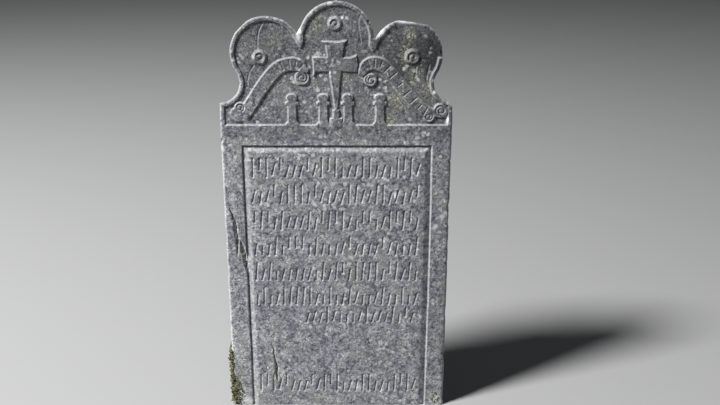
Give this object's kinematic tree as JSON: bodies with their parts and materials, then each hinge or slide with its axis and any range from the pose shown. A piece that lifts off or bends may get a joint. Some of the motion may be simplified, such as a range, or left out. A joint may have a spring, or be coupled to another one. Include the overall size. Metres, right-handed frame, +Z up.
{
  "type": "headstone",
  "caption": "Upright slate grave marker with a lobed head, carved relief and a framed panel of stroke rows, cut flat at ground level.",
  "frame": {"origin": "middle of the flat underside, at ground level", "axes": "+Z up, the carved front faces -Y, +X to the right seen from the front"},
  "size_m": [0.61, 0.05, 1.1684],
  "materials": {
    "slate": "weathered, matt, with lichen and moss"
  },
  "bodies": {
    "root": {"headstone": "slate"}
  },
  "joints": []
}
